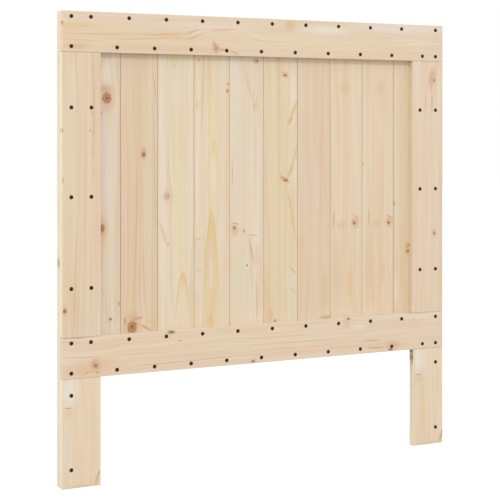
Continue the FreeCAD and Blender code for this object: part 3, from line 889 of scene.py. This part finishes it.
pine_board(
    "bottom_rail", "pine_board", ("E7D4BF", "E5CFB6", "E4CAAD"), 24, (200, 70), rail_edge,
    late=0.3, lying=True, wave=(8.0, 200.0),
    knots=(
        (-406, 253, 4.4, 0.65), (-402, 239, 2.4, 0.5), (-32, 234, 3.6, 0.85),
        (216, 313, 3.2, 0.2), (333, 234, 4, 0.4),
    ),
    stains=(
        (-406, 257, 13, 13, 0, "C9976A", 0.75), (-402, 260, 5, 5, 0, "E2C4A0", 0.6),
        (-405, 253, 5, 1.6, 0, "8E5C30", 0.8), (-150, 291, 260, 9, 0, "E7D4AE", 0.5),
        (80, 284, 160, 8, 0, "E8CEB2", 0.5), (-420, 250, 66, 22, 0, "DAB890", 0.45),
        (-387, 263, 30, 9, 0, "DDBC90", 0.4), (327, 243, 60, 9, 0, "DABA92", 0.35),
        (150, 303, 200, 9, 0, "E8D6BD", 0.6), (446, 292, 40, 22, 0, "E8D7BF", 0.6),
        (89, 262, 40, 10, 0, "ECDAC4", 0.6), (20, 266, 90, 3, 0, "E3D3AA", 0.5),
        (60, 269, 160, 1.8, 0.5, "D3B884", 0.7), (60, 284, 150, 1.8, 0.5, "DDB694", 0.6),
        (70, 257, 130, 1.8, 0, "DBB390", 0.5), (-231, 311, 14, 6, 0, "BCA064", 0.7),
        (-231, 313, 9, 4.4, 0, "7A6128", 0.95), (-210, 292, 7, 2.4, 0, "BFA67E", 0.75),
        (-385, 276, 12, 16, 0, "E6D2A4", 0.6), (-424, 240, 20, 2.2, -24, "CFA47C", 0.6),
        (-180, 238, 200, 7, 0, "E4C6AE", 0.6), (-180, 247, 190, 1.3, -0.7, "C79C78", 0.65),
        (-300, 271, 90, 1.2, 1, "CDA580", 0.45), (-420, 272, 60, 1.2, 3, "CDA580", 0.45),
        (-160, 262, 130, 1.2, 0, "CFAA86", 0.4), (-150, 284, 80, 1.1, -3, "CFAA86", 0.4),
        (-450, 314, 36, 1.3, 2, "9E8260", 0.65), (150, 262, 170, 3, 0, "DFD1AE", 0.5),
        (120, 244, 150, 6, 0, "E6C9B4", 0.5), (245, 293, 28, 8, 0, "EBDFCE", 0.7),
        (245, 275, 28, 6, 0, "E6CFA4", 0.55), (212, 303, 12, 12, 0, "E2BF9E", 0.7),
        (281, 258, 32, 1.2, 1, "AC865A", 0.7), (288, 241, 36, 1.5, 2, "AC865A", 0.7),
        (340, 243, 24, 13, 0, "DBAC8C", 0.7), (331, 234, 8, 2, 0, "8E6C5E", 0.8),
        (216, 313, 6, 1.4, 0, "8C6C3E", 0.95), (390, 276, 90, 18, 0, "E7D0B8", 0.5),
        (395, 252, 50, 3, 0, "DFD0AE", 0.5), (30, 302, 44, 7, 0, "EBDDC6", 0.5),
    ),
)


# Stiles and legs: boards of the rails' size stand between the rails and below the lower one.
# Each is butted against a rail, lies flush with it, and is screwed to the post behind.

stile_edge = ("E3D6BA", 0.6)
pine_board(
    "left_stile", "pine_board", ("E5D2BB", "E2CCB0", "E0C7A6"), 15, (-500, 70), stile_edge,
    late=0.3,
    knots=((-474, 372, 4.4, 0.95), (-418, 749, 2, 0.5)),
    stains=(
        (-468, 700, 11, 260, 0, "E3D3B3", 0.6), (-440, 650, 14, 300, 0, "E5CCB5", 0.6),
        (-477, 640, 6, 320, 0, "E4D4B4", 0.7), (-453, 850, 13, 76, 0, "E9D7C0", 0.6),
        (-404, 480, 7, 150, 0, "DABD98", 0.45), (-453, 385, 14, 66, 0, "DBBE98", 0.45),
        (-479.5, 749, 1.4, 6, 0, "9A6A3C", 0.9), (-417, 640, 7, 300, 0, "E4D2B3", 0.6),
        (-401, 640, 7, 300, 0, "E5C9B1", 0.6), (-457, 395, 7, 80, 0, "E2C69C", 0.6),
        (-478, 645, 2, 8, 0, "BC8E62", 0.7), (-412, 880, 1.2, 10, 2, "C59C76", 0.6),
        (-410, 822, 1.4, 15, -2, "C59C76", 0.6), (-414, 784, 1.2, 9, 0, "C59C76", 0.6),
        (-411, 746, 1.5, 6, 0, "B28258", 0.7), (-412, 702, 1.3, 14, 2, "C59C76", 0.6),
        (-409, 662, 1.2, 10, 0, "C59C76", 0.5), (-410, 790, 2.4, 140, 0, "D8AF96", 0.5),
        (-430, 560, 1.4, 200, 0, "CFAA80", 0.3),
    ),
)
pine_board(
    "right_stile", "pine_board", ("E7D4BF", "E5CEB5", "E3C9A9"), 16, (380, 75), stile_edge,
    late=0.25,
    knots=((455, 868, 3.2, 0.9), (456, 503, 4.2, 0.3)),
    stains=(
        (449, 876, 11, 28, 12, "CF9F7D", 0.7), (449, 854, 2.6, 14, 12, "BE8C6A", 0.65),
        (454, 846, 7, 56, 0, "E0C4A0", 0.5), (431, 815, 1.3, 30, 0, "B98E66", 0.6),
        (449, 814, 1.5, 28, 0, "AC8058", 0.65), (456, 505, 9, 12, 0, "DBBFB0", 0.6),
        (471, 380, 8, 46, 0, "DFCBA0", 0.6), (420, 640, 16, 300, 0, "E8D4BC", 0.5),
        (466, 740, 9, 150, 0, "E9DABF", 0.6), (468, 850, 6, 60, 0, "ECDEC8", 0.6),
        (455.5, 503, 1.1, 5.5, 0, "7A554A", 0.8),
    ),
)
leg_tones = ("EAD8C2", "E8D3B9", "E7CEAF")
leg_stains = (
    (-463, 204, 23, 38, 0, "EEE3D6", 0.85), (-466, 208, 4, 22, 0, "E3E0CA", 0.5),
    (-466, 168.5, 10, 1.8, 2, "A88464", 0.75), (-464, 157, 16, 12, 0, "E3C29E", 0.6),
    (-455, 134, 16, 22, 0, "E0D4B2", 0.5), (-469, 80, 5, 60, 0, "E2D7C6", 0.7),
    (-448, 62, 12, 42, 0, "E8CCAE", 0.45), (-408, 150, 9, 110, 0, "E6D3A8", 0.6),
    (-413, 140, 1.5, 60, 0, "CCBA92", 0.4), (-424, 140, 1.2, 70, 0, "D2C0A4", 0.4),
    (-403, 13, 4.5, 15, 14, "D6A868", 0.7), (-398, 27, 2.2, 7, 14, "85705A", 0.65),
    (-440, 3, 40, 4, 0, "D6C6A2", 0.5),
)
right_leg_edge = ("E4D9C5", 0.25)
# Both legs show the same figure, this far apart, and the right one has marks on its inner edge.
between_legs = 876
pine_board(
    "left_leg", "pine_board", leg_tones, 17, (-400, 60), stile_edge, late=0.22,
    stains=leg_stains,
)
pine_board(
    "right_leg", "pine_board", leg_tones, 18, (476, 60), right_leg_edge, late=0.22,
    stains=[
        *[(across + between_legs, up, *rest) for across, up, *rest in leg_stains],
        (476, 16, 3, 16, 14, "BFAA8C", 0.7), (394, 110, 1.6, 130, 0, "D8CAB4", 0.8),
        (394, 204, 1.6, 20, 0, "C08A6C", 0.7), (394, 210, 1.6, 10, 0, "8A4E30", 1.0),
        (394, 224, 1.6, 6, 0, "5A4638", 0.9),
    ],
)


# Screws: countersunk wood screws of browned steel, with a cross recess in the head.
# They are driven a hair below the front, so each head fills its countersink, and the turn that
# the driver left the cross at differs from screw to screw.

head_radius = 4.3 * MM
head_sink = 0.2 * MM
head_rim = 0.35 * MM
shank_radius = 2.2 * MM
core_radius = 1.6 * MM
point_radius = 0.2 * MM
screw_length = 25.0 * MM
plain_length = 8.0 * MM
point_length = 5.0 * MM
thread_pitch = 2.0 * MM
recess_span = 4.4 * MM
recess_width = 1.1 * MM
recess_depth = 1.6 * MM
head_sides = 20
stem_sides = 12
thread_steps = 10
brown_dark, brown_pale = "391D00", "5B3402"
mottle_size = 0.6 * MM
mottle_height = 0.03 * MM


def browned_steel():
    """Steel browned in hot oil: dark and a little glossy, with a fine mottle from the bath."""
    material = bpy.data.materials.new("browned_steel")
    material.use_nodes = True
    tree = material.node_tree
    tree.nodes.clear()
    place = add(tree, "ShaderNodeTexCoord").outputs["Object"]
    mottle = add(tree, "ShaderNodeTexNoise", {"Vector": place, "Scale": 1 / mottle_size})
    finish = add(tree, "ShaderNodeValToRGB", {"Fac": mottle})
    stops = finish.color_ramp.elements
    stops[0].position, stops[0].color = 0.35, linear(brown_dark)
    stops[1].position, stops[1].color = 0.7, linear(brown_pale)
    rough = add(tree, "ShaderNodeMapRange", {"Value": mottle, "To Min": 0.38, "To Max": 0.6})
    bump = add(tree, "ShaderNodeBump", {
        "Height": mottle, "Strength": 0.2, "Distance": mottle_height,
    })
    steel = add(tree, "ShaderNodeBsdfPrincipled", {
        "Base Color": finish, "Metallic": 0.35, "Roughness": rough, "Normal": bump,
    })
    add(tree, "ShaderNodeOutputMaterial", {"Surface": steel})
    return material


def driven_screws():
    """One wood screw, made along Z with its head's top at 0, on each mark and turned by chance."""
    tree, given = new_tree(
        "driven_screws", "GeometryNodeTree",
        {"Geometry": "Geometry", "Finish": "Material", "Head radius": "Float",
         "Shank radius": "Float", "Core radius": "Float", "Length": "Float",
         "Plain length": "Float", "Point length": "Float", "Pitch": "Float",
         "Recess span": "Float", "Recess width": "Float", "Recess depth": "Float",
         "Sink": "Float", "Seed": "Int"},
        {"Geometry": "Geometry"},
    )
    # Head: a short rim over a cone of 90 degrees, so it is as deep as it narrows.
    rim = add(tree, "GeometryNodeMeshCylinder", {
        "Vertices": head_sides, "Radius": given["Head radius"], "Depth": head_rim,
    })
    rim_place = (0, 0, -head_rim / 2)
    narrowing = add(tree, "ShaderNodeMath", {0: given["Head radius"], 1: given["Shank radius"]},
                    operation="SUBTRACT")
    cone_foot = add(tree, "ShaderNodeMath", {0: narrowing, 1: -1.0, 2: -head_rim},
                    operation="MULTIPLY_ADD")
    cone = add(tree, "GeometryNodeMeshCone", {
        "Vertices": head_sides, "Radius Top": given["Head radius"],
        "Radius Bottom": given["Shank radius"], "Depth": narrowing,
    })
    head = add(tree, "GeometryNodeMeshBoolean", operation="UNION", solver="EXACT")
    for part, spot in (
        (rim, rim_place), (cone, add(tree, "ShaderNodeCombineXYZ", {"Z": cone_foot})),
    ):
        placed = add(tree, "GeometryNodeTransform", {"Geometry": part, "Translation": spot})
        tree.links.new(placed.outputs[0], head.inputs["Mesh 2"])
    cross = add(tree, "GeometryNodeMeshBoolean", operation="UNION", solver="EXACT")
    deep = add(tree, "ShaderNodeMath", {0: given["Recess depth"], 1: 2.0}, operation="MULTIPLY")
    for size in (("Recess span", "Recess width"), ("Recess width", "Recess span")):
        slab = add(tree, "GeometryNodeMeshCube", {
            "Size": add(tree, "ShaderNodeCombineXYZ", {
                "X": given[size[0]], "Y": given[size[1]], "Z": deep,
            }),
        })
        tree.links.new(slab.outputs["Mesh"], cross.inputs["Mesh 2"])
    recessed = add(tree, "GeometryNodeMeshBoolean", {
        "Mesh 1": head.outputs["Mesh"], "Mesh 2": cross.outputs["Mesh"],
    }, operation="DIFFERENCE", solver="EXACT")
    # Stem: a plain shank, a slimmer threaded core and a point, each from its foot upwards.
    whole = add(tree, "GeometryNodeJoinGeometry")
    tree.links.new(recessed.outputs["Mesh"], whole.inputs[0])
    core_length = add(tree, "ShaderNodeMath", {
        0: given["Length"],
        1: add(tree, "ShaderNodeMath", {0: given["Plain length"], 1: given["Point length"]}),
    }, operation="SUBTRACT")
    core_foot = add(tree, "ShaderNodeMath", {0: given["Length"], 1: given["Point length"]},
                    operation="SUBTRACT")
    shank, core, plain = given["Shank radius"], given["Core radius"], given["Plain length"]
    for radius, tip, length, foot in (
        (shank, shank, plain, plain),
        (core, core, core_length, core_foot),
        (core, point_radius, given["Point length"], given["Length"]),
    ):
        stem = add(tree, "GeometryNodeMeshCone", {
            "Vertices": stem_sides, "Radius Top": radius, "Radius Bottom": tip,
            "Depth": length,
        })
        down = add(tree, "ShaderNodeMath", {0: foot, 1: -1.0}, operation="MULTIPLY")
        placed = add(tree, "GeometryNodeTransform", {
            "Geometry": stem, "Translation": add(tree, "ShaderNodeCombineXYZ", {"Z": down}),
        })
        tree.links.new(placed.outputs[0], whole.inputs[0])
    # Thread: a sharp ridge wound round the core from its foot up to the shank.
    turns = add(tree, "ShaderNodeMath", {0: core_length, 1: given["Pitch"]}, operation="DIVIDE")
    helix = add(tree, "GeometryNodeCurveSpiral", {
        "Resolution": thread_steps, "Rotations": turns, "Start Radius": core,
        "End Radius": core, "Height": core_length,
    })
    ridge_reach = add(tree, "ShaderNodeMath", {0: shank, 1: core}, operation="SUBTRACT")
    ridge = add(tree, "GeometryNodeCurvePrimitiveCircle", {
        "Resolution": 3, "Radius": ridge_reach,
    })
    thread = add(tree, "GeometryNodeCurveToMesh", {
        "Curve": helix.outputs[0], "Profile Curve": ridge.outputs["Curve"], "Fill Caps": True,
    })
    thread_drop = add(tree, "ShaderNodeMath", {0: core_foot, 1: -1.0}, operation="MULTIPLY")
    wound = add(tree, "GeometryNodeTransform", {
        "Geometry": thread, "Translation": add(tree, "ShaderNodeCombineXYZ", {"Z": thread_drop}),
    })
    tree.links.new(wound.outputs[0], whole.inputs[0])
    sunk = add(tree, "ShaderNodeCombineXYZ", {"Y": given["Sink"]})
    points = add(tree, "GeometryNodeSetPosition", {"Geometry": given["Geometry"], "Offset": sunk})
    chance = add(tree, "FunctionNodeRandomValue", {
        "Min": 0.0, "Max": math.radians(90), "Seed": given["Seed"],
    }, data_type="FLOAT")
    turn = add(tree, "FunctionNodeRotateRotation", {
        "Rotation": (math.radians(90), 0, 0),
        "Rotate By": add(tree, "ShaderNodeCombineXYZ", {"Z": chance}),
    }, rotation_space="LOCAL")
    driven = add(tree, "GeometryNodeInstanceOnPoints", {
        "Points": points, "Instance": whole, "Rotation": turn,
    })
    loose = add(tree, "GeometryNodeRealizeInstances", {"Geometry": driven})
    dressed = add(tree, "GeometryNodeSetMaterial", {
        "Geometry": loose, "Material": given["Finish"],
    })
    add(tree, "NodeGroupOutput", {0: dressed})
    return tree


screws_tree = driven_screws()
steel = browned_steel()

for seed, (board, places) in enumerate(screws.items()):
    piece = marks(board + "_driven_screws", places)
    settle(piece, screws_tree, {
        "Finish": steel, "Head radius": head_radius, "Shank radius": shank_radius,
        "Core radius": core_radius, "Length": screw_length, "Plain length": plain_length,
        "Point length": point_length, "Pitch": thread_pitch, "Recess span": recess_span,
        "Recess width": recess_width, "Recess depth": recess_depth, "Sink": head_sink,
        "Seed": seed,
    })
    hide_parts(board + "_screws")
    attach(piece, "root")


# Studio: the headboard stands on white paper in a white room with even, slightly warm light.
# A far, cooler lamp high on the left casts the short shadow under the top rail, and a broad one
# low on the left lights the outer side. The camera stands on the left, level with the panel.

paper_white = 0.45
paper_glow = 0.62
room_light = (1.083, 1.056, 1.005, 1.0)
key_colour = (0.82, 0.91, 1.0)
key_height, key_side, key_spread, key_strength = 38, 18, 10, 0.8
fill_place, fill_aim, fill_width, fill_power = (-4.0, 0.4, 1.2), (0, 0, 0.6), 2.4, 40
eye = Vector((-1440.1, -2749.2, 752.1)) * MM
camera_turn = math.radians(27.13)
picture_width = 500
focal_pixels = 1376.9
horizon_row = 129.07

camera_data = bpy.data.cameras.new("camera")
camera_data.sensor_width = 36.0
camera_data.lens = camera_data.sensor_width * focal_pixels / picture_width
camera_data.shift_y = (horizon_row - picture_width / 2) / picture_width
camera = bpy.data.objects.new("camera", camera_data)
camera.location = eye
camera.rotation_euler = (math.radians(90), 0, -camera_turn)
bpy.context.scene.collection.objects.link(camera)
bpy.context.scene.camera = camera
bpy.context.scene.view_settings.view_transform = "Standard"

floor_reach = 12.0
floor_mesh = bpy.data.meshes.new("floor")
floor_mesh.from_pydata(
    [(x * floor_reach, y * floor_reach, 0) for x, y in ((-1, -1), (1, -1), (1, 1), (-1, 1))],
    [], [(0, 1, 2, 3)],
)
floor = bpy.data.objects.new("floor", floor_mesh)
bpy.context.scene.collection.objects.link(floor)

# White paper: matt, and lifted for the camera alone so that it comes out as white as the room.
paper = bpy.data.materials.new("white_paper")
paper.use_nodes = True
tree = paper.node_tree
tree.nodes.clear()
seen = add(tree, "ShaderNodeLightPath").outputs["Is Camera Ray"]
lift = add(tree, "ShaderNodeMath", {0: seen, 1: paper_glow}, operation="MULTIPLY")
matt = add(tree, "ShaderNodeBsdfDiffuse", {"Color": (paper_white, paper_white, paper_white, 1)})
glow = add(tree, "ShaderNodeEmission", {"Strength": lift})
add(tree, "ShaderNodeOutputMaterial", {
    "Surface": add(tree, "ShaderNodeAddShader", {0: matt, 1: glow}),
})
floor_mesh.materials.append(paper)

# White room: it lights from all round, and seen straight or in a gloss it is plain white.
room = bpy.data.worlds.new("white_room")
room.use_nodes = True
bpy.context.scene.world = room
tree = room.node_tree
tree.nodes.clear()
path = add(tree, "ShaderNodeLightPath").outputs
shown = add(tree, "ShaderNodeMath", {0: path["Is Camera Ray"], 1: path["Is Glossy Ray"]},
            operation="MAXIMUM")
light = add(tree, "ShaderNodeMix", {"Factor": shown, "A": room_light, "B": (1, 1, 1, 1)},
            data_type="RGBA")
add(tree, "ShaderNodeOutputWorld", {
    "Surface": add(tree, "ShaderNodeBackground", {"Color": light, "Strength": 1.0}),
})

key = bpy.data.lights.new("key", "SUN")
key.energy = key_strength
key.color = key_colour
key.angle = math.radians(key_spread)
key_stand = bpy.data.objects.new("key", key)
key_stand.rotation_euler = (math.radians(90 - key_height), 0, math.radians(-key_side))
bpy.context.scene.collection.objects.link(key_stand)

fill = bpy.data.lights.new("fill", "AREA")
fill.shape = "DISK"
fill.size = fill_width
fill.energy = fill_power
fill_stand = bpy.data.objects.new("fill", fill)
fill_stand.location = fill_place
fill_way = Vector(fill_aim) - fill_stand.location
fill_stand.rotation_euler = fill_way.to_track_quat("-Z", "Y").to_euler()
bpy.context.scene.collection.objects.link(fill_stand)

bpy.data.objects.remove(all_marks)
